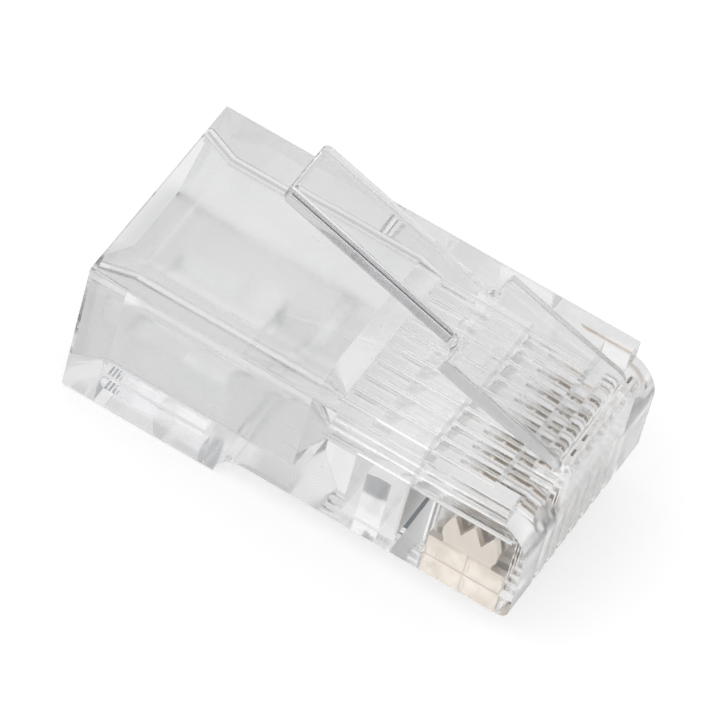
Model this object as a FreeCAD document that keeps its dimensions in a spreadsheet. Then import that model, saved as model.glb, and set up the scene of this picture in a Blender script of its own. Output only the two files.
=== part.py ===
import FreeCAD, Part
import Sketcher
import math
import os

# Modular plug with eight positions and eight contacts, clear moulding, not yet crimped.
# Every outline is drawn with x from the rear face towards the nose, y across the plug
# and z up from the sole of the rear section, and each body is then shifted so that
# the plug's frame stands at the middle of its length, at the sole.

doc = FreeCAD.newDocument("ModularPlug")

sizes = {
    # Housing, outside
    "body_length": 22.3,
    "body_width": 11.68,
    "body_height": 8.0,
    "rear_section": 7.7,
    "sole_step": 1.35,
    "step_radius": 1.35,
    "sole_edge_radius": 0.5,
    "nose_radius": 1.85,
    "long_edge_radius": 0.15,
    # Recess behind the nose, between two side walls
    "recess_length": 2.55,
    "recess_depth": 1.0,
    "recess_wall": 1.0,
    "wall_setback": 1.3,
    # Cable cavity
    "side_wall": 1.5,
    "cavity_floor": 2.1,
    "cavity_roof": 0.8,
    "cavity_length": 10.95,
    "cavity_roof_radius": 1.3,
    "cavity_floor_radius": 0.3,
    "mouth_depth": 1.6,
    "mouth_flare": 0.6,
    # Funnel from the cavity to the wire channels
    "funnel_length": 1.05,
    "funnel_step": 1.0,
    # Wire channels
    "wire_pitch": 1.02,
    "wire_count": 8,
    "channel_radius": 0.58,
    "channel_height": 5.35,
    "channel_overlap": 0.4,
    "nose_wall": 1.0,
    # Contacts and their slots
    "contact_setback": 0.9,
    "contact_length": 3.8,
    "contact_thickness": 0.35,
    "contact_stand_out": 0.25,
    "contact_base": 1.5,
    "contact_edge_radius": 0.3,
    "contact_neck": 2.4,
    "contact_neck_height": 0.25,
    "contact_head": 2.7,
    "tine_pitch": 1.0,
    "tine_root": 2.5,
    "tine_tip": 3.4,
    "tine_land": 0.12,
    "slot_clearance": 0.04,
    "slot_end_gap": 0.08,
    "slot_top": 5.0,
    "guide_depth": 1.0,
    # Window and bar of the wire clamp
    "wire_window_gap": 1.2,
    "wire_window_length": 2.7,
    "wire_window_width": 8.9,
    "wire_clamp_front_gap": 0.85,
    "wire_clamp_rear_gap": 0.65,
    "wire_clamp_recess": 0.1,
    "wire_clamp_top": 4.6,
    "wire_clamp_fall": 0.15,
    "wire_clamp_land": 0.6,
    # Window and bar of the jacket clamp
    "jacket_window_start": 1.05,
    "jacket_window_length": 5.65,
    "jacket_window_width": 4.5,
    "jacket_hinge_radius": 0.35,
    "jacket_hinge_height": 0.5,
    "jacket_tip_gap": 0.34,
    "jacket_bar_height": 2.35,
    "jacket_land": 2.05,
    "jacket_ramp": 0.45,
    # Latch
    "latch_angle": 18.8,
    "latch_thickness": 1.05,
    "latch_length": 15.9,
    "latch_width": 6.02,
    "latch_shoulder": 6.15,
    "latch_tail_width": 3.25,
    "latch_tail_radius": 0.3,
    "latch_edge_radius": 0.2,
    "shoulder_radius": 0.4,
    "latch_neck": 0.75,
    "hinge_setback": 1.1,
    "hinge_height": 8.7,
    "root_length": 1.7,
    "root_lip": 0.35,
    # Clearance of every moving member in the moulding
    "clearance": 0.06,
}

sheet = doc.addObject("Spreadsheet::Sheet", "Sizes")
for row, (alias, size) in enumerate(sizes.items(), start=1):
    sheet.set(f"A{row}", alias)
    sheet.set(f"B{row}", str(size))
    sheet.setAlias(f"B{row}", alias)
doc.recompute()


def formula(text):
    # Each size's name, written the way an expression refers to its cell
    words = text.split()
    return " ".join(f"Sizes.{word}" if word in sizes else word for word in words)


def amount(text):
    # The value of a sum of sizes, where a size may be multiplied or divided
    total = 0.0
    term = 0.0
    action = "+"
    for word in text.split():
        if word in ("+", "-", "*", "/"):
            action = word
            continue
        number = float(sheet.get(word)) if word in sizes else float(word)
        if action == "*":
            term *= number
        elif action == "/":
            term /= number
        else:
            total += term
            term = number if action == "+" else -number
    return total + term


def bind(thing, prop, text):
    thing.setExpression(prop, formula(text))


def new_body(label, along="0 - body_length / 2", across="0", up="0"):
    body = doc.addObject("PartDesign::Body", label)
    body.Label = label
    bind(body, "Placement.Base.x", along)
    bind(body, "Placement.Base.y", across)
    bind(body, "Placement.Base.z", up)
    return body


def origin_item(body, role):
    return next(item for item in body.Origin.OriginFeatures if item.Role == role)


def new_sketch(body, name, role, offset=None):
    sketch = body.newObject("Sketcher::SketchObject", name)
    sketch.AttachmentSupport = [(origin_item(body, role), "")]
    sketch.MapMode = "FlatFace"
    if offset:
        bind(sketch, "AttachmentOffset.Base.z", offset)
    return sketch


def pin_point(sketch, edge, end, corner):
    # Holds one end of an edge at a corner given as two sums of sizes
    for axis, kind, text in ((-2, "DistanceX", corner[0]), (-1, "DistanceY", corner[1])):
        if text == "0":
            sketch.addConstraint(Sketcher.Constraint("PointOnObject", edge, end, axis))
            continue
        rule = Sketcher.Constraint(kind, -1, 1, edge, end, amount(text))
        index = sketch.addConstraint(rule)
        bind(sketch, f"Constraints[{index}]", text)


def draw_outline(sketch, corners, bends=None):
    # A closed outline. A bend makes the edge that starts at a corner an arc:
    # (radius, 1) turns left as the outline runs and (radius, -1) turns right.
    # A half round has its centre on the upright axis, and its ends give its radius.
    bends = bends or {}
    points = [FreeCAD.Vector(amount(x), amount(y), 0) for x, y in corners]
    axis = FreeCAD.Vector(0, 0, 1)
    first = sketch.GeometryCount
    ends = []
    for i, start in enumerate(points):
        stop = points[(i + 1) % len(points)]
        if i not in bends:
            sketch.addGeometry(Part.LineSegment(start, stop), False)
            ends.append((1, 2))
            continue
        radius, turn = bends[i]
        chord = stop - start
        left = FreeCAD.Vector(-chord.y, chord.x, 0).normalize()
        rise = math.sqrt(max(amount(radius) ** 2 - (chord.Length / 2) ** 2, 0.0))
        centre = (start + stop) * 0.5 + left * (rise * turn)
        begin, end = (start, stop) if turn > 0 else (stop, start)
        angles = [math.atan2(p.y - centre.y, p.x - centre.x) for p in (begin, end)]
        circle = Part.Circle(centre, axis, amount(radius))
        sketch.addGeometry(Part.ArcOfCircle(circle, angles[0], angles[1]), False)
        ends.append((1, 2) if turn > 0 else (2, 1))
    for i, (head, tail) in enumerate(ends):
        after = (i + 1) % len(ends)
        joint = Sketcher.Constraint("Coincident", first + i, tail, first + after, ends[after][0])
        sketch.addConstraint(joint)
        pin_point(sketch, first + i, head, corners[i])
        if i in bends and math.isclose((points[after] - points[i]).Length, 2 * amount(bends[i][0])):
            sketch.addConstraint(Sketcher.Constraint("PointOnObject", first + i, 3, -2))
        elif i in bends:
            rule = Sketcher.Constraint("Radius", first + i, amount(bends[i][0]))
            index = sketch.addConstraint(rule)
            bind(sketch, f"Constraints[{index}]", bends[i][0])


def box_corners(left, right, low, high):
    return [(left, low), (right, low), (right, high), (left, high)]


def grow(body, kind, name, sketch, length, both_ways=True, backwards=False):
    # A pad or a pocket, with its volume compared against the solid before it
    before = body.Shape.Volume if body.Tip else 0.0
    feature = body.newObject(kind, name)
    feature.Profile = sketch
    bind(feature, "Length", length)
    feature.Midplane = both_ways
    feature.Reversed = backwards
    sketch.Visibility = False
    doc.recompute()
    change = body.Shape.Volume - before
    wanted = 1 if kind == "PartDesign::Pad" else -1
    if change * wanted <= 0:
        raise RuntimeError(f"{name} changed the volume by {change}")
    return feature


def cut_loft(body, name, start, end):
    # A cavity that runs smoothly from one outline to another
    before = body.Shape.Volume
    feature = body.newObject("PartDesign::SubtractiveLoft", name)
    feature.Profile = start
    feature.Sections = [end]
    feature.Ruled = True
    start.Visibility = False
    end.Visibility = False
    doc.recompute()
    if body.Shape.Volume >= before:
        raise RuntimeError(f"{name} cut nothing")
    return feature


def draw_circle(sketch, across, up, radius):
    centre = FreeCAD.Vector(amount(across), amount(up), 0)
    circle = Part.Circle(centre, FreeCAD.Vector(0, 0, 1), amount(radius))
    edge = sketch.addGeometry(circle, False)
    pin_point(sketch, edge, 3, (across, up))
    index = sketch.addConstraint(Sketcher.Constraint("Radius", edge, amount(radius)))
    bind(sketch, f"Constraints[{index}]", radius)


def repeat_across(body, name, feature):
    # Copies a feature across the plug, once for each wire
    pattern = body.newObject("PartDesign::LinearPattern", name)
    pattern.Originals = [feature]
    pattern.Direction = (origin_item(body, "Y_Axis"), [""])
    bind(pattern, "Length", "wire_pitch * wire_count - wire_pitch")
    bind(pattern, "Occurrences", "wire_count")
    body.Tip = pattern
    before = feature.Shape.Volume
    doc.recompute()
    if body.Shape.Volume >= before:
        raise RuntimeError(f"{name} repeated nothing")
    return pattern


def round_edges(body, name, base, chosen, radius):
    # Rounds the edges of a feature that a rule chooses
    edges = enumerate(base.Shape.Edges, start=1)
    names = [f"Edge{number}" for number, edge in edges if chosen(edge)]
    before = body.Shape.Volume
    fillet = body.newObject("PartDesign::Fillet", name)
    fillet.Base = (base, names)
    bind(fillet, "Radius", radius)
    doc.recompute()
    if math.isclose(body.Shape.Volume, before, rel_tol=1e-9):
        raise RuntimeError(f"{name} rounded nothing")
    return fillet


# Housing
housing = new_body("housing")

nose_floor = "body_height - recess_depth"
first_wire = "wire_pitch / 2 - wire_pitch * wire_count / 2"

side = new_sketch(housing, "SideOutline", "XZ_Plane")
draw_outline(
    side,
    [
        ("0", "0"),
        ("rear_section", "0"),
        ("rear_section + step_radius", "sole_step"),
        ("body_length - sole_edge_radius", "sole_step"),
        ("body_length", "sole_step + sole_edge_radius"),
        ("body_length", "body_height - recess_depth - nose_radius"),
        ("body_length - nose_radius", nose_floor),
        ("0", nose_floor),
    ],
    {1: ("step_radius", -1), 3: ("sole_edge_radius", 1), 5: ("nose_radius", 1)},
)
grow(housing, "PartDesign::Pad", "Block", side, "body_width")

deck = new_sketch(housing, "DeckOutline", "XZ_Plane")
deck_foot = "body_height - recess_depth - nose_radius"
draw_outline(deck, box_corners("0", "body_length - wall_setback", deck_foot, "body_height"))
deck_pad = grow(housing, "PartDesign::Pad", "Deck", deck, "body_width")

# Two places nearer than this are the same, and an edge shorter than this isn't one
near = 1e-6
shortest = 1e-3


# The long outer edges are slightly round
def is_outer_edge(edge):
    # Edges of the two side faces, apart from those at the rear and at the nose
    box = edge.BoundBox
    far = sheet.get("body_width") / 2
    front = sheet.get("body_length") - sheet.get("wall_setback")
    on_side = box.YLength < near and math.isclose(abs(box.YMin), far, abs_tol=near)
    return on_side and box.XLength > shortest and box.ZLength < near and box.XMax < front + near


round_edges(housing, "LongEdges", deck_pad, is_outer_edge, "long_edge_radius")

recess = new_sketch(housing, "RecessOutline", "XY_Plane", "body_height")
recess_side = "body_width / 2 - recess_wall"
draw_outline(
    recess,
    box_corners("body_length - recess_length", "body_length",
                "recess_wall - body_width / 2", recess_side),
)
grow(housing, "PartDesign::Pocket", "Recess", recess, "recess_depth", both_ways=False)

root = new_sketch(housing, "LatchRootOutline", "XZ_Plane")
seat_low = "hinge_height - latch_thickness / 2 - clearance"
seat_front = "body_length - hinge_setback + latch_thickness / 2 + clearance"
draw_outline(
    root,
    [
        ("body_length - root_length", deck_foot),
        ("body_length", deck_foot),
        ("body_length", "hinge_height"),
        ("body_length - root_lip / 2", "hinge_height + root_lip"),
        (seat_front, "hinge_height + root_lip"),
        (seat_front, "hinge_height"),
        ("body_length - hinge_setback", seat_low),
        ("body_length - root_length", seat_low),
    ],
    {5: ("latch_thickness / 2 + clearance", -1)},
)
grow(housing, "PartDesign::Pad", "LatchRoot", root, "latch_width")

# Cable cavity, round under its roof, seen from the rear
cavity = new_sketch(housing, "CavityOutline", "YZ_Plane")
cavity_left = "side_wall - body_width / 2"
cavity_right = "body_width / 2 - side_wall"
cavity_top = "body_height - cavity_roof"


def cavity_corners(left, right, low, high, low_radius, high_radius):
    # Corners of a rounded opening, counted from its low left corner
    return [
        (f"{left} + {low_radius}", low),
        (f"{right} - {low_radius}", low),
        (right, f"{low} + {low_radius}"),
        (right, f"{high} - {high_radius}"),
        (f"{right} - {high_radius}", high),
        (f"{left} + {high_radius}", high),
        (left, f"{high} - {high_radius}"),
        (left, f"{low} + {low_radius}"),
    ]


def cavity_bends(low_radius, high_radius):
    return {1: (low_radius, 1), 3: (high_radius, 1), 5: (high_radius, 1), 7: (low_radius, 1)}


round_ends = cavity_bends("cavity_floor_radius", "cavity_roof_radius")
draw_outline(
    cavity,
    cavity_corners(cavity_left, cavity_right, "cavity_floor", cavity_top,
                   "cavity_floor_radius", "cavity_roof_radius"),
    round_ends,
)
grow(housing, "PartDesign::Pocket", "Cavity", cavity, "cavity_length",
     both_ways=False, backwards=True)

# The mouth widens towards the rear face
mouth_rear = new_sketch(housing, "MouthRear", "YZ_Plane")
draw_outline(
    mouth_rear,
    cavity_corners(f"{cavity_left} - mouth_flare", f"{cavity_right} + mouth_flare",
                   "cavity_floor - mouth_flare", "body_height - cavity_roof + mouth_flare / 2",
                   "cavity_floor_radius", "cavity_roof_radius"),
    round_ends,
)
mouth_front = new_sketch(housing, "MouthFront", "YZ_Plane", "mouth_depth")
draw_outline(
    mouth_front,
    cavity_corners(cavity_left, cavity_right, "cavity_floor", cavity_top,
                   "cavity_floor_radius", "cavity_roof_radius"),
    round_ends,
)
cut_loft(housing, "Mouth", mouth_rear, mouth_front)

# Past a step in the floor, the funnel leads from the cavity to the row of wires
funnel_rear = new_sketch(housing, "FunnelRear", "YZ_Plane", "cavity_length")
draw_outline(
    funnel_rear,
    cavity_corners(cavity_left, cavity_right, "cavity_floor + funnel_step", cavity_top,
                   "cavity_floor_radius", "cavity_roof_radius"),
    round_ends,
)
funnel_front = new_sketch(housing, "FunnelFront", "YZ_Plane", "cavity_length + funnel_length")
draw_outline(
    funnel_front,
    cavity_corners("0 - wire_pitch * wire_count / 2", "wire_pitch * wire_count / 2",
                   "channel_height - channel_radius", "channel_height + channel_radius",
                   "cavity_floor_radius", "cavity_floor_radius"),
    cavity_bends("cavity_floor_radius", "cavity_floor_radius"),
)
cut_loft(housing, "Funnel", funnel_rear, funnel_front)

# Wire channels, from the nose wall back into the funnel
channel = new_sketch(housing, "ChannelOutline", "YZ_Plane", "body_length - nose_wall")
draw_circle(channel, first_wire, "channel_height", "channel_radius")
channel_cut = grow(
    housing, "PartDesign::Pocket", "Channel", channel,
    "body_length - nose_wall - cavity_length - funnel_length + channel_overlap",
    both_ways=False,
)
repeat_across(housing, "Channels", channel_cut)

# Contact slots, open below, and at the nose for the wires of the jack
slot = new_sketch(housing, "SlotOutline", "XZ_Plane", "wire_pitch * wire_count / 2 - wire_pitch / 2")
slot_back = "body_length - contact_setback - contact_length - slot_end_gap"
slot_front = "body_length - contact_setback + slot_end_gap"
draw_outline(
    slot,
    [
        (slot_back, "0"),
        ("body_length + slot_end_gap", "0"),
        ("body_length + slot_end_gap", "sole_step + guide_depth"),
        (slot_front, "sole_step + guide_depth"),
        (slot_front, "slot_top"),
        (slot_back, "slot_top"),
    ],
)
slot_cut = grow(housing, "PartDesign::Pocket", "Slot", slot,
                "contact_thickness + slot_clearance * 2")
repeat_across(housing, "Slots", slot_cut)

# Windows for the two clamps, cut up from the underside
jacket_window = new_sketch(housing, "JacketWindow", "XY_Plane")
draw_outline(
    jacket_window,
    box_corners("jacket_window_start", "jacket_window_start + jacket_window_length",
                "0 - jacket_window_width / 2", "jacket_window_width / 2"),
)
grow(housing, "PartDesign::Pocket", "JacketOpening", jacket_window,
     "cavity_floor + cavity_floor_radius", both_ways=False, backwards=True)

wire_window = new_sketch(housing, "WireWindow", "XY_Plane", "sole_step")
draw_outline(
    wire_window,
    box_corners(f"{slot_back} - wire_window_gap - wire_window_length",
                f"{slot_back} - wire_window_gap",
                "0 - wire_window_width / 2", "wire_window_width / 2"),
)
grow(housing, "PartDesign::Pocket", "WireOpening", wire_window,
     "channel_height - sole_step", both_ways=False, backwards=True)

# Latch, drawn lying along its hinge line and then tilted up to the rear
latch = new_body("latch", "body_length / 2 - hinge_setback", "0", "hinge_height")
latch.Placement.Rotation = FreeCAD.Rotation(FreeCAD.Vector(0, 1, 0), 1)
bind(latch, "Placement.Rotation.Angle", "latch_angle")

tongue = new_sketch(latch, "TongueOutline", "XZ_Plane")
draw_outline(
    tongue,
    [
        ("latch_tail_radius - latch_length", "0 - latch_thickness / 2"),
        ("0", "0 - latch_thickness / 2"),
        ("0", "latch_thickness / 2"),
        ("latch_tail_radius - latch_length", "latch_thickness / 2"),
        ("0 - latch_length", "latch_thickness / 2 - latch_tail_radius"),
        ("0 - latch_length", "latch_tail_radius - latch_thickness / 2"),
    ],
    {1: ("latch_thickness / 2", 1), 3: ("latch_tail_radius", 1), 5: ("latch_tail_radius", 1)},
)
grow(latch, "PartDesign::Pad", "Tongue", tongue, "latch_width")

for side_name, sign in (("Left", "+"), ("Right", "-")):
    waist = new_sketch(latch, f"{side_name}Waist", "XY_Plane")
    inner = f"0 {sign} latch_tail_width / 2"
    outer = f"0 {sign} latch_width / 2 {sign} clearance"
    turn = 1 if sign == "+" else -1
    draw_outline(
        waist,
        [
            ("0 - latch_length - clearance", inner),
            ("0 - latch_shoulder - shoulder_radius", inner),
            ("0 - latch_shoulder", f"{inner} {sign} shoulder_radius"),
            ("0 - latch_shoulder", outer),
            ("0 - latch_length - clearance", outer),
        ],
        {1: ("shoulder_radius", turn)},
    )
    relief = grow(latch, "PartDesign::Pocket", f"{side_name}Relief", waist, "latch_thickness * 2")


def is_latch_rim(edge):
    # Edges along the latch's two sides, and across its shoulders
    box = edge.BoundBox
    along = box.YLength < near and box.XLength > sheet.get("latch_thickness")
    shoulder = -sheet.get("latch_shoulder")
    at_shoulder = math.isclose(box.XMin, shoulder, abs_tol=near) and box.XLength < near
    return along or at_shoulder and box.ZLength < near and box.YLength > shortest


round_edges(latch, "LatchEdges", relief, is_latch_rim, "latch_edge_radius")

# The underside rises from the shoulders to a thin neck at the hinge
neck = new_sketch(latch, "NeckOutline", "XZ_Plane")
neck_front = "latch_thickness / 2 + clearance"
draw_outline(
    neck,
    [
        ("0 - latch_shoulder", "0 - latch_thickness"),
        (neck_front, "0 - latch_thickness"),
        (neck_front, "latch_thickness / 2 - latch_neck"),
        ("0", "latch_thickness / 2 - latch_neck"),
        ("0 - latch_shoulder", "0 - latch_thickness / 2"),
    ],
)
grow(latch, "PartDesign::Pocket", "Neck", neck, "latch_width + clearance * 2")

# Jacket clamp, drawn from its hinge line
jacket_clamp = new_body(
    "jacket_clamp",
    "jacket_window_start + clearance + jacket_hinge_radius - body_length / 2",
    "0",
    "jacket_hinge_height",
)
bar = new_sketch(jacket_clamp, "JacketBarOutline", "XZ_Plane")
jacket_tip = "jacket_window_length - clearance - jacket_hinge_radius - jacket_tip_gap"
draw_outline(
    bar,
    [
        ("0", "0 - jacket_hinge_radius"),
        (jacket_tip, "0 - jacket_hinge_radius"),
        (jacket_tip, "jacket_bar_height"),
        (f"{jacket_tip} - jacket_land", "jacket_bar_height"),
        (f"{jacket_tip} - jacket_land - jacket_ramp", "jacket_hinge_radius"),
        ("0", "jacket_hinge_radius"),
    ],
    {5: ("jacket_hinge_radius", 1)},
)
grow(jacket_clamp, "PartDesign::Pad", "JacketBar", bar, "jacket_window_width - clearance * 2")

# Wire clamp
wire_clamp = new_body("wire_clamp")
wedge = new_sketch(wire_clamp, "WireBarOutline", "XZ_Plane")
clamp_rear = f"{slot_back} - wire_window_gap - wire_window_length + wire_clamp_rear_gap"
clamp_front = f"{slot_back} - wire_window_gap - wire_clamp_front_gap"
draw_outline(
    wedge,
    [
        (clamp_rear, "sole_step + wire_clamp_recess"),
        (clamp_front, "sole_step + wire_clamp_recess"),
        (clamp_front, "wire_clamp_top"),
        (f"{clamp_front} - wire_clamp_land", "wire_clamp_top"),
        (clamp_rear, "wire_clamp_top - wire_clamp_fall"),
    ],
)
grow(wire_clamp, "PartDesign::Pad", "WireBar", wedge, "wire_window_width - clearance * 2")


# Contacts: a base that the wires of the jack ride on, a neck, and a head with three tines
def blade_side(sign, opposite):
    # One half of the blade, from its rounded foot up to the middle tine
    base = f"0 {sign} contact_length / 2"
    neck = f"0 {sign} contact_neck / 2"
    head = f"0 {sign} contact_head / 2"
    return [
        (f"{base} {opposite} contact_edge_radius", "0"),
        (base, "contact_edge_radius"),
        (base, "contact_base"),
        (neck, "contact_base"),
        (neck, "contact_base + contact_neck_height"),
        (head, "contact_base + contact_neck_height * 2"),
        (head, "tine_root"),
        (f"0 {sign} tine_pitch {sign} tine_land / 2", "tine_tip"),
        (f"0 {sign} tine_pitch {opposite} tine_land / 2", "tine_tip"),
        (f"0 {sign} tine_pitch / 2", "tine_root"),
        (f"0 {sign} tine_land / 2", "tine_tip"),
    ]


def make_contact(number):
    contact = new_body(
        f"contact_{number}",
        "body_length / 2 - contact_setback - contact_length / 2",
        f"wire_pitch * {number} - wire_pitch * wire_count / 2 - wire_pitch / 2",
        "sole_step - contact_stand_out",
    )
    blade = new_sketch(contact, f"Blade{number}", "XZ_Plane")
    corners = blade_side("+", "-") + blade_side("-", "+")[::-1]
    rounding = ("contact_edge_radius", 1)
    draw_outline(blade, corners, {0: rounding, len(corners) - 2: rounding})
    grow(contact, "PartDesign::Pad", f"BladePad{number}", blade, "contact_thickness")
    return contact


contacts = [make_contact(number) for number in range(1, sizes["wire_count"] + 1)]

# Every object is checked before anything is written
doc.recompute()
for thing in doc.Objects:
    if "Invalid" in thing.State or "Error" in thing.State:
        raise RuntimeError(f"{thing.Name} failed: {thing.State}")

os.makedirs("parts", exist_ok=True)
for body in [housing, latch, jacket_clamp, wire_clamp] + contacts:
    if body.Shape.isNull() or not body.Shape.isValid():
        raise RuntimeError(f"{body.Label} has no valid shape")
    print(body.Label, "volume", round(body.Shape.Volume, 3), "solids", len(body.Shape.Solids))
    body.Shape.exportStep(f"parts/{body.Label}.step")
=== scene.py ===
import bpy
import bmesh
from math import radians, cos, sin
from mathutils import Vector, Matrix

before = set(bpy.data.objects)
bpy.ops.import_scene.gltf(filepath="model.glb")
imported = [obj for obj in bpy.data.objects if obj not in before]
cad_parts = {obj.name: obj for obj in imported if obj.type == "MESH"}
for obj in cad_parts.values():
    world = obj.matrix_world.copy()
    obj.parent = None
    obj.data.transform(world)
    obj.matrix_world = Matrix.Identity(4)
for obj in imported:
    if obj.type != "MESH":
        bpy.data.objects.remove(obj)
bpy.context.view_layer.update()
mm = 0.001
white = (1.0, 1.0, 1.0, 1)
black = (0.0, 0.0, 0.0, 1)
scene = bpy.context.scene
scene.view_settings.view_transform = "Standard"


def directionTo(azimuth, elevation):
    # From the plug towards a camera or a lamp at these angles
    a, e = radians(azimuth), radians(elevation)
    return Vector((sin(a) * cos(e), -cos(a) * cos(e), sin(e)))


# The photograph was taken with a long lens, so one millimetre covers nearly the same anywhere
photo = {
    "azimuth": 17.75,
    "elevation": 50.0,
    "roll": 16.1,
    "pixelsPerMm": 23.15,
    "frameWidth": 720,
    "distance": 400 * mm,
    "sensor": 36.0,
    "clipStart": 10 * mm,
    "clipEnd": 10000 * mm,
    # Where the camera aims: a point above the middle of the sole, moved across and up the picture
    "aimHeight": 4.0 * mm,
    "aimRight": -0.13 * mm,
    "aimUp": 0.42 * mm,
}


def makeCamera():
    back = directionTo(photo["azimuth"], photo["elevation"])
    a, roll = radians(photo["azimuth"]), radians(photo["roll"])
    level = Vector((cos(a), sin(a), 0))
    right = level * cos(roll) + back.cross(level) * sin(roll)
    up = back.cross(right)
    target = Vector((0, 0, photo["aimHeight"])) + right * photo["aimRight"] + up * photo["aimUp"]
    camera = bpy.data.objects.new("camera", bpy.data.cameras.new("camera"))
    turned = Matrix((right, up, back)).transposed().to_4x4()
    camera.matrix_world = Matrix.Translation(target + back * photo["distance"]) @ turned
    seenWidth = photo["frameWidth"] / photo["pixelsPerMm"] * mm
    camera.data.sensor_width = photo["sensor"]
    camera.data.lens = photo["sensor"] * photo["distance"] / seenWidth
    camera.data.clip_start = photo["clipStart"]
    camera.data.clip_end = photo["clipEnd"]
    scene.collection.objects.link(camera)
    scene.camera = camera
    print("camera ready")


makeCamera()


def link(tree, source, target):
    tree.links.new(source, target)


def addNode(tree, kind, **settings):
    node = tree.nodes.new(kind)
    for key, value in settings.items():
        setattr(node, key, value)
    return node


def plug(tree, socket, value):
    # A socket takes either a link from another node or a plain value
    if isinstance(value, bpy.types.NodeSocket):
        link(tree, value, socket)
    else:
        socket.default_value = value


def calculate(tree, operation, first, second=0.0):
    node = addNode(tree, "ShaderNodeMath", operation=operation)
    plug(tree, node.inputs[0], first)
    plug(tree, node.inputs[1], second)
    return node.outputs[0]


def remap(tree, value, fromMin, fromMax, toMin=0.0, toMax=1.0):
    # Eased at both ends, so that no line shows where one value meets the other
    node = addNode(tree, "ShaderNodeMapRange", interpolation_type="SMOOTHSTEP")
    sockets = ("Value", "From Min", "From Max", "To Min", "To Max")
    for name, setting in zip(sockets, (value, fromMin, fromMax, toMin, toMax)):
        plug(tree, node.inputs[name], setting)
    return node.outputs["Result"]


def blend(tree, mask, first, second):
    # The first value where the mask is 0, the second where it is 1
    return remap(tree, mask, 0.0, 1.0, first, second)


def mixColor(tree, factor, first, second, mode="MIX"):
    node = addNode(tree, "ShaderNodeMix", data_type="RGBA", blend_type=mode)
    plug(tree, node.inputs["Factor"], factor)
    plug(tree, node.inputs["A"], first)
    plug(tree, node.inputs["B"], second)
    return node.outputs["Result"]


def splitAxes(tree, vector):
    node = addNode(tree, "ShaderNodeSeparateXYZ")
    link(tree, vector, node.inputs[0])
    return node.outputs


def insideRectangle(tree, place, halfLength, halfWidth, fade):
    # 1 within these half sizes along X and Y, 0 from the fade's width beyond them
    inside = 1.0
    for axis, half in (("X", halfLength), ("Y", halfWidth)):
        away = calculate(tree, "ABSOLUTE", place[axis])
        mask = remap(tree, away, half + fade, half)
        inside = calculate(tree, "MULTIPLY", mask, inside)
    return inside


def newMaterial(name):
    material = bpy.data.materials.new(name)
    material.use_nodes = True
    return material, material.node_tree, material.node_tree.nodes["Principled BSDF"]


def newGroup(name, inputs, outputs):
    group = bpy.data.node_groups.new(name, "ShaderNodeTree")
    for label, kind in inputs:
        group.interface.new_socket(label, in_out="INPUT", socket_type=kind)
    for label, kind in outputs:
        group.interface.new_socket(label, in_out="OUTPUT", socket_type=kind)
    return group, group.nodes.new("NodeGroupInput"), group.nodes.new("NodeGroupOutput")


def noiseAt(tree, vector, scale, detail):
    node = addNode(tree, "ShaderNodeTexNoise")
    plug(tree, node.inputs["Vector"], vector)
    plug(tree, node.inputs["Scale"], scale)
    node.inputs["Detail"].default_value = detail
    return node.outputs["Fac"]


# How fine the noise in the two groups is, and how soft the edges that it draws
noiseLook = {
    "waveDetail": 1.0,
    "cloudDetail": 2.0,
    "cloudLow": 0.35,
    "cloudHigh": 0.65,
    "scratchDetail": 3.0,
    "scratchFade": 0.05,
}


# Soft waves and faint clouds, as a polished mould and a rolled strip both leave them
def makeSurfaceWaves():
    group, given, result = newGroup(
        "surfaceWaves",
        [("Vector", "NodeSocketVector"), ("Wave Scale", "NodeSocketFloat"),
         ("Cloud Scale", "NodeSocketFloat")],
        [("Height", "NodeSocketFloat"), ("Clouds", "NodeSocketFloat")],
    )
    vector = given.outputs["Vector"]
    height = noiseAt(group, vector, given.outputs["Wave Scale"], noiseLook["waveDetail"])
    clouds = noiseAt(group, vector, given.outputs["Cloud Scale"], noiseLook["cloudDetail"])
    clouds = remap(group, clouds, noiseLook["cloudLow"], noiseLook["cloudHigh"])
    link(group, height, result.inputs["Height"])
    link(group, clouds, result.inputs["Clouds"])
    return group


# Hair scratches from handling, longer one way than the other
def makeHandlingScratches():
    group, given, result = newGroup(
        "handlingScratches",
        [("Vector", "NodeSocketVector"), ("Stretch", "NodeSocketVector"),
         ("Turn", "NodeSocketVector"), ("Sparseness", "NodeSocketFloat")],
        [("Mask", "NodeSocketFloat")],
    )
    mapping = addNode(group, "ShaderNodeMapping")
    link(group, given.outputs["Vector"], mapping.inputs["Vector"])
    link(group, given.outputs["Stretch"], mapping.inputs["Scale"])
    link(group, given.outputs["Turn"], mapping.inputs["Rotation"])
    # The stretch has set the scale already
    streaks = noiseAt(group, mapping.outputs["Vector"], 1.0, noiseLook["scratchDetail"])
    edge = calculate(group, "ADD", given.outputs["Sparseness"], noiseLook["scratchFade"])
    mask = remap(group, streaks, given.outputs["Sparseness"], edge)
    link(group, mask, result.inputs["Mask"])
    return group


surfaceWaves = makeSurfaceWaves()
handlingScratches = makeHandlingScratches()


def useGroup(tree, group, **values):
    # A socket whose name has a space is given with an underscore
    node = addNode(tree, "ShaderNodeGroup", node_tree=group)
    for name, value in values.items():
        plug(tree, node.inputs[name.replace("_", " ")], value)
    return node


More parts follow.
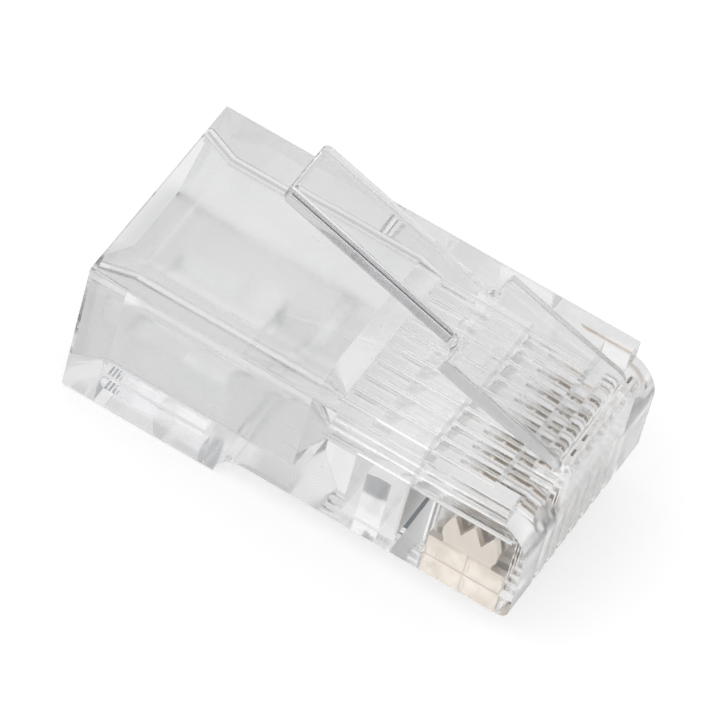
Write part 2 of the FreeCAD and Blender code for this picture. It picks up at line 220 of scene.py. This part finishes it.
def addSurface(tree, shader, look):
    # The waves bend the light, the clouds and the scratches are left for colour and roughness
    vector = addNode(tree, "ShaderNodeTexCoord").outputs["Object"]
    waves = useGroup(tree, surfaceWaves, Vector=vector, Wave_Scale=look["waveScale"],
                     Cloud_Scale=look["cloudScale"])
    scratches = useGroup(tree, handlingScratches, Vector=vector, Stretch=look["scratchStretch"],
                         Turn=look["scratchTurn"], Sparseness=look["scratchSparseness"])
    bump = addNode(tree, "ShaderNodeBump")
    bump.inputs["Distance"].default_value = look["waveDepth"]
    link(tree, waves.outputs["Height"], bump.inputs["Height"])
    link(tree, bump.outputs["Normal"], shader.inputs["Normal"])
    return vector, waves.outputs["Clouds"], scratches.outputs["Mask"]


# What all the clear pieces share
plasticLook = {
    "ior": 1.585,
    # Walls inside the plug and the two clamps take next to no tint
    "innerColor": (1.0, 1.0, 1.0, 1),
    "innerCloudColor": (0.985, 0.986, 0.988, 1),
    "polish": 0.015,
    "scratchRoughness": 0.08,
    "waveDepth": 0.006 * mm,
    "waveScale": 420.0,
    "cloudScale": 260.0,
    "scratchStretch": (300, 4000, 4000),
    "scratchTurn": (0.3, 0.2, 0.5),
    "scratchSparseness": 0.66,
}


def makeClearPlastic(name, chooseColor, chooseRoughness):
    material, tree, shader = newMaterial(name)
    vector, clouds, scratches = addSurface(tree, shader, plasticLook)
    place = splitAxes(tree, vector)
    link(tree, chooseColor(tree, place, clouds), shader.inputs["Base Color"])
    worn = calculate(tree, "MULTIPLY", scratches, plasticLook["scratchRoughness"])
    rough = calculate(tree, "ADD", worn, chooseRoughness(tree, place))
    link(tree, rough, shader.inputs["Roughness"])
    shader.inputs["Transmission Weight"].default_value = 1.0
    shader.inputs["IOR"].default_value = plasticLook["ior"]
    return material


def innerColor(tree, place, clouds):
    return mixColor(tree, clouds, plasticLook["innerColor"], plasticLook["innerCloudColor"])


def polishedRoughness(tree, place):
    return plasticLook["polish"]


housingLook = {
    # Skin colours by place: the rear section is thicker, and its skin is painted greyer than the
    # front as painted shade for that thickness
    "rearShadeColor": (0.85, 0.852, 0.857, 1),
    "rearShadeCloudColor": (0.83, 0.833, 0.838, 1),
    "frontColor": (0.94, 0.937, 0.934, 1),
    "frontCloudColor": (0.92, 0.916, 0.912, 1),
    "rearEnd": -1.0 * mm,
    "frontStart": 4.0 * mm,
    # The two side faces are painted greyer than the upper and lower ones, as painted shade
    "sideShade": (0.93, 0.93, 0.93, 1),
    "sideStart": 5.6 * mm,
    "sideEnd": 5.8 * mm,
    # The nose is the dullest of the outer faces
    "noseColor": (0.97, 0.966, 0.962, 1),
    "noseRoughness": 0.15,
    "noseStart": 10.8 * mm,
    "noseEnd": 11.0 * mm,
    # The box that holds the cavity, the channels and the slots, whose walls are less polished
    "coreLength": 10.7 * mm,
    "coreWidth": 5.4 * mm,
    "coreLow": 1.7 * mm,
    "coreHigh": 7.4 * mm,
    "coreFade": 0.1 * mm,
    "cavityRoughness": 0.2,
    "channelRoughness": 0.14,
    # The front wall of the wire clamp's window
    "windowWall": 5.17 * mm,
    "windowHalf": 0.1 * mm,
    "windowRoughness": 0.35,
}


def towardFront(tree, place):
    return remap(tree, place["X"], housingLook["rearEnd"], housingLook["frontStart"])


def onNose(tree, place, skin, nose):
    # One value on the other outer faces, another on the face of the nose
    return remap(tree, place["X"], housingLook["noseStart"], housingLook["noseEnd"], skin, nose)


def insideCore(tree, place):
    # 1 on the walls of the cavity, the channels and the slots, 0 on the outer faces
    fade = housingLook["coreFade"]
    inside = insideRectangle(tree, place, housingLook["coreLength"], housingLook["coreWidth"], fade)
    for limit, inward in (("coreLow", fade), ("coreHigh", -fade)):
        mask = remap(tree, place["Z"], housingLook[limit], housingLook[limit] + inward)
        inside = calculate(tree, "MULTIPLY", mask, inside)
    return inside


def onWindowWall(tree, place):
    away = calculate(tree, "SUBTRACT", place["X"], housingLook["windowWall"])
    away = calculate(tree, "ABSOLUTE", away)
    return calculate(tree, "LESS_THAN", away, housingLook["windowHalf"])


def skinColor(tree, place, clouds):
    # Painted shade: the skin is painted greyer towards the rear
    front = towardFront(tree, place)
    clear = mixColor(tree, front, housingLook["rearShadeColor"], housingLook["frontColor"])
    cloudy = mixColor(tree, front, housingLook["rearShadeCloudColor"], housingLook["frontCloudColor"])
    # Painted shade on the two side faces
    away = calculate(tree, "ABSOLUTE", place["Y"])
    onSide = remap(tree, away, housingLook["sideStart"], housingLook["sideEnd"])
    skin = mixColor(tree, clouds, clear, cloudy)
    return mixColor(tree, onSide, skin, housingLook["sideShade"], "MULTIPLY")


def housingColor(tree, place, clouds):
    nose = onNose(tree, place, 0.0, 1.0)
    outer = mixColor(tree, nose, skinColor(tree, place, clouds), housingLook["noseColor"])
    return mixColor(tree, insideCore(tree, place), outer, innerColor(tree, place, clouds))


def housingRoughness(tree, place):
    inner = blend(tree, towardFront(tree, place), housingLook["cavityRoughness"],
                  housingLook["channelRoughness"])
    inner = blend(tree, onWindowWall(tree, place), inner, housingLook["windowRoughness"])
    outer = onNose(tree, place, plasticLook["polish"], housingLook["noseRoughness"])
    return blend(tree, insideCore(tree, place), outer, inner)


latchLook = {
    "color": (0.93, 0.931, 0.933, 1),
    # The tail's sides are painted grey, a painted dark reflection along them, and those of the wide
    # part are dull
    "tailSideReflection": (0.62, 0.62, 0.63, 1),
    "wideSideRoughness": 0.35,
    # Half widths of the tail and of the wide part, and where one meets the other
    "tailHalf": 1.625 * mm,
    "wideHalf": 3.01 * mm,
    "shoulder": 4.1 * mm,
    "fade": 0.1 * mm,
}


def pastShoulder(tree, place):
    # 0 on the latch's tail, 1 on its wide part
    shoulder, fade = latchLook["shoulder"], latchLook["fade"]
    return remap(tree, place["X"], shoulder - fade, shoulder + fade)


def onLatchSide(tree, place):
    # 1 on the latch's flat sides, 0 on its upper and lower faces
    half = blend(tree, pastShoulder(tree, place), latchLook["tailHalf"], latchLook["wideHalf"])
    depth = calculate(tree, "SUBTRACT", half, calculate(tree, "ABSOLUTE", place["Y"]))
    return remap(tree, depth, latchLook["fade"], 0.0)


def latchColor(tree, place, clouds):
    # Painted reflection: a dark line painted along the tail's sides
    side = mixColor(tree, pastShoulder(tree, place), latchLook["tailSideReflection"],
                    latchLook["color"])
    return mixColor(tree, onLatchSide(tree, place), latchLook["color"], side)


def latchRoughness(tree, place):
    wideSide = calculate(tree, "MULTIPLY", onLatchSide(tree, place), pastShoulder(tree, place))
    return blend(tree, wideSide, plasticLook["polish"], latchLook["wideSideRoughness"])


contactLook = {
    "plateColor": (0.765, 0.70, 0.63, 1),
    "duskColor": (0.645, 0.565, 0.48, 1),
    # The head with its tines stays clean in its slot
    "headColor": (0.94, 0.87, 0.78, 1),
    "headStart": 2.6 * mm,
    "headEnd": 2.8 * mm,
    "roughness": 0.3,
    "duskRoughness": 0.42,
    "cloudShare": 0.5,
    "waveDepth": 0.004 * mm,
    "waveScale": 900.0,
    "cloudScale": 1400.0,
    # Rubbed up and down by the wires of the jack
    "scratchStretch": (9000, 9000, 700),
    "scratchTurn": (0.0, 0.0, 0.0),
    "scratchSparseness": 0.6,
}


def makeContactPlate():
    material, tree, shader = newMaterial("contactPlate")
    vector, clouds, scratches = addSurface(tree, shader, contactLook)
    clouds = calculate(tree, "MULTIPLY", clouds, contactLook["cloudShare"])
    dusk = calculate(tree, "MAXIMUM", clouds, scratches)
    plate = mixColor(tree, dusk, contactLook["plateColor"], contactLook["duskColor"])
    height = splitAxes(tree, vector)["Z"]
    inSlot = remap(tree, height, contactLook["headStart"], contactLook["headEnd"])
    color = mixColor(tree, inSlot, plate, contactLook["headColor"])
    link(tree, color, shader.inputs["Base Color"])
    rough = blend(tree, dusk, contactLook["roughness"], contactLook["duskRoughness"])
    link(tree, rough, shader.inputs["Roughness"])
    shader.inputs["Metallic"].default_value = 1
    return material


clampPlastic = makeClearPlastic("clampPlastic", innerColor, polishedRoughness)
contactPlate = makeContactPlate()
finishes = {
    "housing": makeClearPlastic("housingPlastic", housingColor, housingRoughness),
    "latch": makeClearPlastic("latchPlastic", latchColor, latchRoughness),
    "jacket_clamp": clampPlastic,
    "wire_clamp": clampPlastic,
}
for name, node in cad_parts.items():
    node.data.materials.clear()
    node.data.materials.append(finishes.get(name, contactPlate))
print("materials ready")


def seenThroughPlug(tree, rays):
    # 1 for what gloss and clear plastic show
    return calculate(tree, "MAXIMUM", rays.outputs["Is Glossy Ray"],
                     rays.outputs["Is Transmission Ray"])


floorLook = {
    "size": 0.6,
    # Paper and sole stay this far apart, so that neither face hides the other
    "gap": 0.02 * mm,
    "color": (0.5, 0.5, 0.5, 1),
    "roughness": 0.9,
    # Tops up the lit colour to white
    "glow": 0.62,
    # What the plug shows of the paper is white, and less so under the plug itself
    "shadowLevel": 0.8,
    "shadowLength": 11.0 * mm,
    "shadowWidth": 5.6 * mm,
    "shadowFade": 2.0 * mm,
}


def makePaper():
    material, tree, shader = newMaterial("floorPaper")
    rays = addNode(tree, "ShaderNodeLightPath")
    fromCamera = rays.outputs["Is Camera Ray"]
    through = seenThroughPlug(tree, rays)
    link(tree, mixColor(tree, through, floorLook["color"], black), shader.inputs["Base Color"])
    shader.inputs["Roughness"].default_value = floorLook["roughness"]
    shader.inputs["Specular IOR Level"].default_value = 0.0
    shader.inputs["Emission Color"].default_value = white
    glow = calculate(tree, "MULTIPLY", fromCamera, floorLook["glow"])
    place = splitAxes(tree, addNode(tree, "ShaderNodeTexCoord").outputs["Object"])
    shadow = insideRectangle(tree, place, floorLook["shadowLength"], floorLook["shadowWidth"],
                             floorLook["shadowFade"])
    level = blend(tree, shadow, 1.0, floorLook["shadowLevel"])
    shown = calculate(tree, "MULTIPLY", through, level)
    link(tree, calculate(tree, "MAXIMUM", glow, shown), shader.inputs["Emission Strength"])
    # Seen from below, the paper is clear, so that the underside can be looked at
    backface = addNode(tree, "ShaderNodeNewGeometry").outputs["Backfacing"]
    fromBelow = calculate(tree, "MULTIPLY", fromCamera, backface)
    clearBelow = addNode(tree, "ShaderNodeMixShader")
    link(tree, fromBelow, clearBelow.inputs[0])
    link(tree, shader.outputs[0], clearBelow.inputs[1])
    link(tree, addNode(tree, "ShaderNodeBsdfTransparent").outputs[0], clearBelow.inputs[2])
    link(tree, clearBelow.outputs[0], tree.nodes["Material Output"].inputs["Surface"])
    return material


def makeFloor():
    mesh = bmesh.new()
    bmesh.ops.create_grid(mesh, x_segments=1, y_segments=1, size=floorLook["size"])
    data = bpy.data.meshes.new("floor")
    mesh.to_mesh(data)
    mesh.free()
    data.materials.append(makePaper())
    floor = bpy.data.objects.new("floor", data)
    floor.location.z = -floorLook["gap"]
    scene.collection.objects.link(floor)


worldLook = {
    "level": 0.8,
    "shownLevel": 1.0,
    # The dark things around: a grey far side with a darker middle, and a small one above it,
    # each with the angles from its middle where it starts to fade and where it ends
    "patches": [
        {"toward": (0.10, 0.95, 0.22), "inner": 16, "outer": 32, "color": (0.62, 0.62, 0.63, 1)},
        {"toward": (0.12, 0.96, 0.22), "inner": 6, "outer": 15, "color": (0.06, 0.06, 0.07, 1)},
        {"toward": (0.185, 0.600, 0.777), "inner": 3, "outer": 7, "color": (0.08, 0.10, 0.12, 1)},
    ],
}


def makeWorld():
    world = bpy.data.worlds.new("studio")
    world.use_nodes = True
    scene.world = world
    tree = world.node_tree
    direction = addNode(tree, "ShaderNodeTexCoord").outputs["Generated"]
    rays = addNode(tree, "ShaderNodeLightPath")
    fromCamera = rays.outputs["Is Camera Ray"]
    # The camera itself sees plain white, and the dark things only through or on the plug
    notCamera = calculate(tree, "SUBTRACT", 1.0, fromCamera)
    color = white
    for patch in worldLook["patches"]:
        facing = addNode(tree, "ShaderNodeVectorMath", operation="DOT_PRODUCT")
        facing.inputs[1].default_value = Vector(patch["toward"]).normalized()
        link(tree, direction, facing.inputs[0])
        edge, middle = (cos(radians(patch[key])) for key in ("outer", "inner"))
        inPatch = remap(tree, facing.outputs["Value"], edge, middle)
        inPatch = calculate(tree, "MULTIPLY", inPatch, notCamera)
        color = mixColor(tree, inPatch, color, patch["color"])
    background = tree.nodes["Background"]
    link(tree, color, background.inputs["Color"])
    seen = calculate(tree, "MAXIMUM", fromCamera, seenThroughPlug(tree, rays))
    level = blend(tree, seen, worldLook["level"], worldLook["shownLevel"])
    link(tree, level, background.inputs["Strength"])


lampLook = {
    "azimuth": -40,
    "elevation": 60,
    "distance": 0.3,
    "size": 0.2,
    "power": 0.15,
}


def makeLamp():
    back = directionTo(lampLook["azimuth"], lampLook["elevation"])
    lamp = bpy.data.lights.new("keyLamp", "AREA")
    lamp.size = lampLook["size"]
    lamp.energy = lampLook["power"]
    holder = bpy.data.objects.new("keyLamp", lamp)
    holder.location = back * lampLook["distance"]
    holder.rotation_euler = back.to_track_quat("Z", "Y").to_euler()
    scene.collection.objects.link(holder)


# Light crosses many clear faces on its way through the plug
bounces = {"throughPlastic": 24, "gloss": 12}

makeFloor()
makeWorld()
makeLamp()
scene.cycles.max_bounces = bounces["throughPlastic"]
scene.cycles.transmission_bounces = bounces["throughPlastic"]
scene.cycles.glossy_bounces = bounces["gloss"]
print("studio ready")
